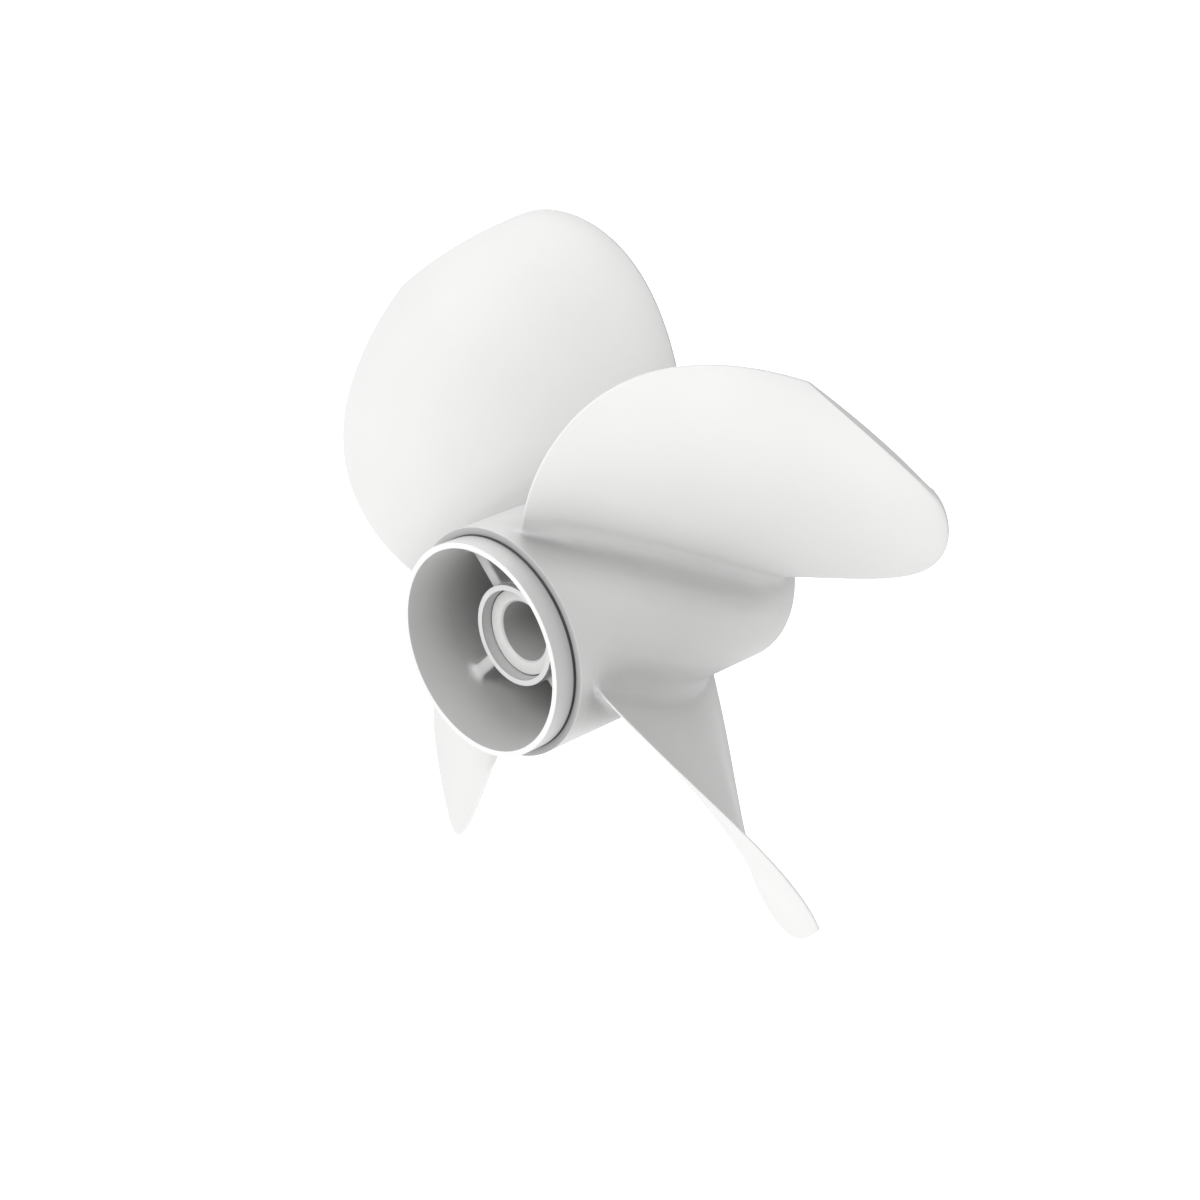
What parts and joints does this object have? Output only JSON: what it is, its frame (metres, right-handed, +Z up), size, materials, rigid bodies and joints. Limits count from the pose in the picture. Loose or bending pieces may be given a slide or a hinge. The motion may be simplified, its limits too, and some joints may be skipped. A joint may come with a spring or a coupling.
{
  "type": "four-blade boat propeller",
  "caption": "Right-hand boat propeller with wide cambered blades on a hollow barrel; exhaust passes between ribs round an inner hub with a rubber-mounted drive sleeve.",
  "frame": {"origin": "on the shaft axis, in the plane of the drive sleeve's front face, which bears on the shaft's thrust washer", "axes": "+Y aft along the shaft axis, so the front lip faces -Y; +Z up; +X to the right as seen from the front"},
  "size_m": [0.3208, 0.1518, 0.3208],
  "materials": {
    "cast_white": "cast, with a matte off-white coat",
    "sleeve_grey": "smooth matte",
    "bushing_black": "matte"
  },
  "bodies": {
    "root": {"exhaust_barrel": "cast_white", "hub_tube": "cast_white", "rib_1": "cast_white", "rib_2": "cast_white", "rib_3": "cast_white", "rib_4": "cast_white", "blade_1": "cast_white", "blade_2": "cast_white", "blade_3": "cast_white", "blade_4": "cast_white", "drive_sleeve": "sleeve_grey", "rubber_bushing": "bushing_black"}
  },
  "joints": []
}
